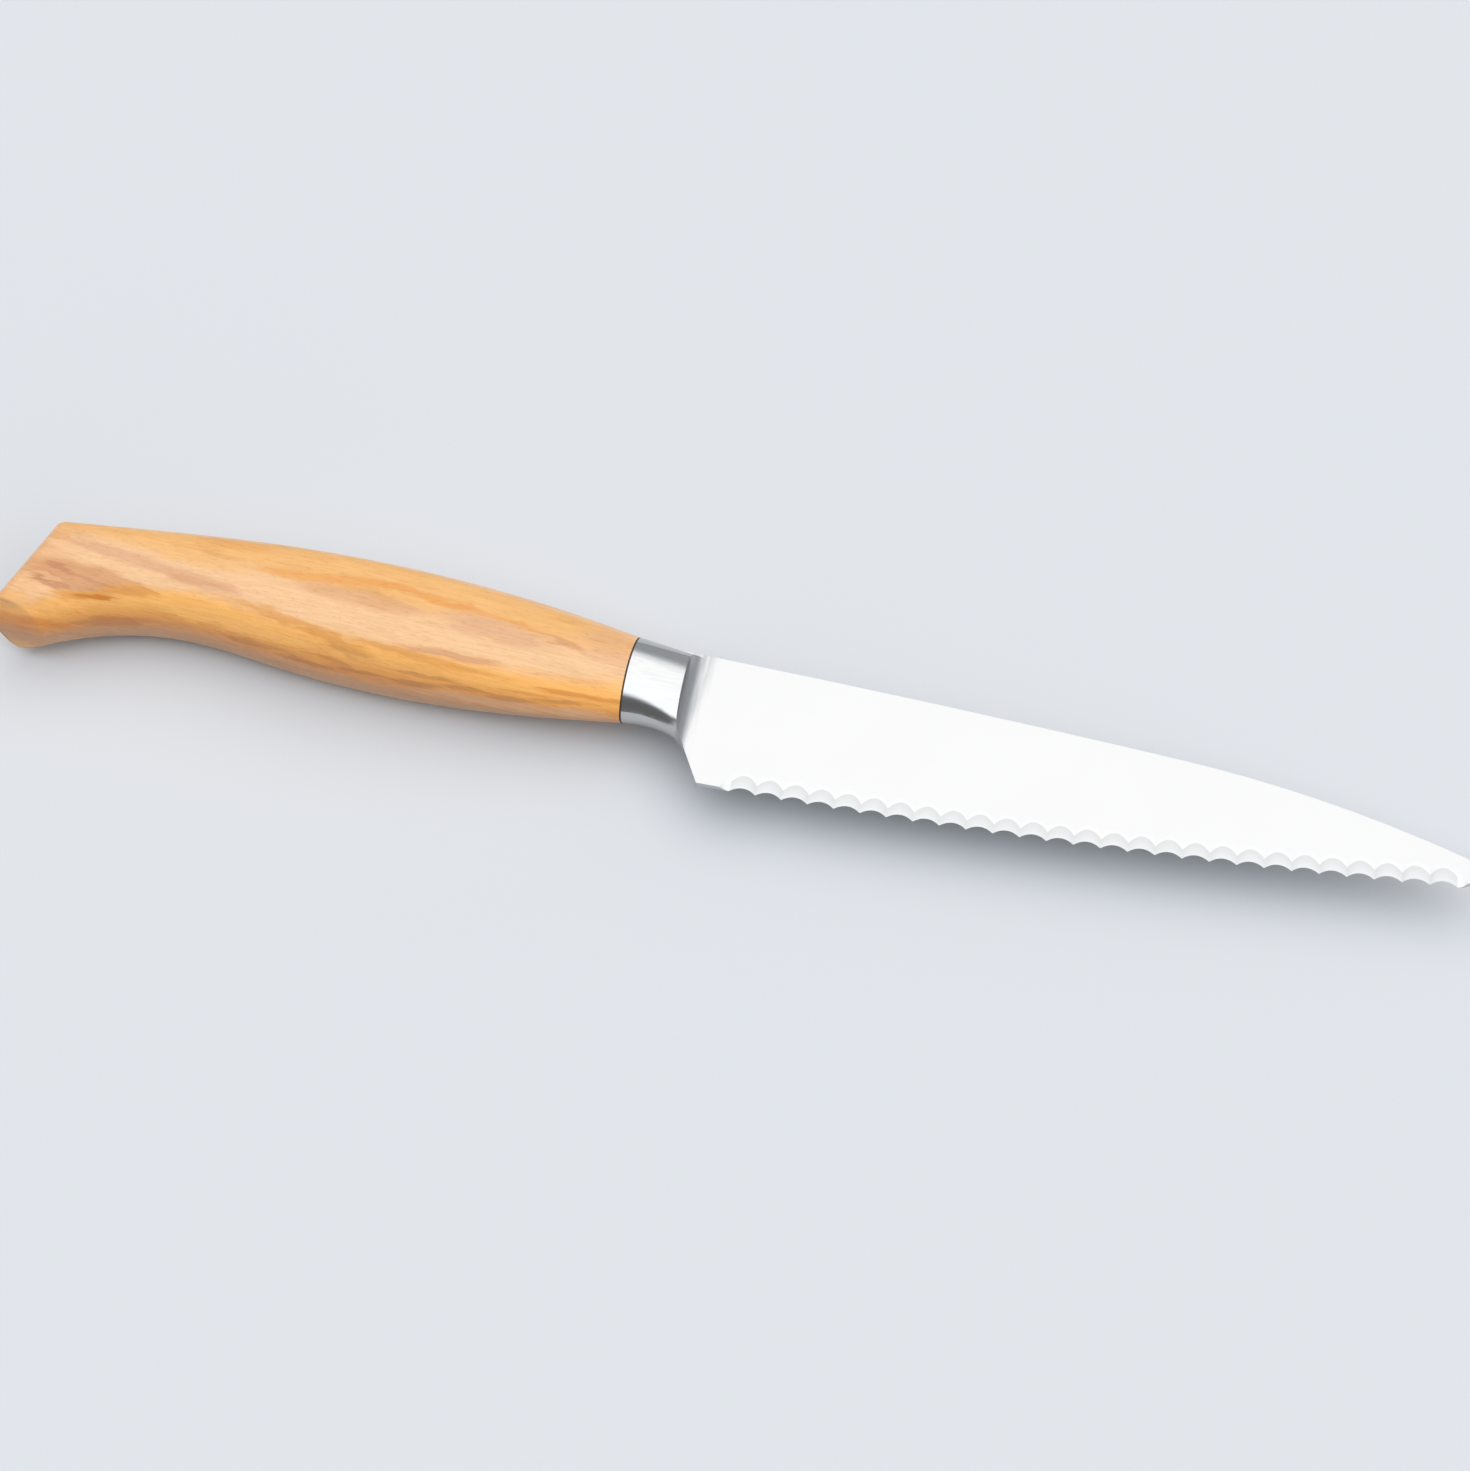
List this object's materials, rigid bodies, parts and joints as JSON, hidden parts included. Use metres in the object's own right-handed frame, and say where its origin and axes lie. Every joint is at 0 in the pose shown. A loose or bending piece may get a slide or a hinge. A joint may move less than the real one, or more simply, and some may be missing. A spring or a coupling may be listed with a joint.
{
  "type": "tomato knife",
  "caption": "Serrated tomato knife: forged blade with integral bolster and hidden stick tang, scalloped on the right face, cemented into a curved one-piece olive-wood handle.",
  "frame": {"origin": "where the blade leaves the bolster, on the blade's centre plane and level with the middle of the joint between bolster and wood", "axes": "+X along the blade to its tip, +Y from the edge to the spine, +Z out of the scalloped right face, which looks up as the knife lies on its left side"},
  "size_m": [0.2469, 0.0361, 0.0172],
  "materials": {
    "steel": "satin blade faces, polished bolster",
    "wood": "oiled satin olive wood",
    "cement": "cured dark cement"
  },
  "bodies": {
    "root": {"blade": "steel", "handle": "wood", "tang_cement": "cement"}
  },
  "joints": []
}
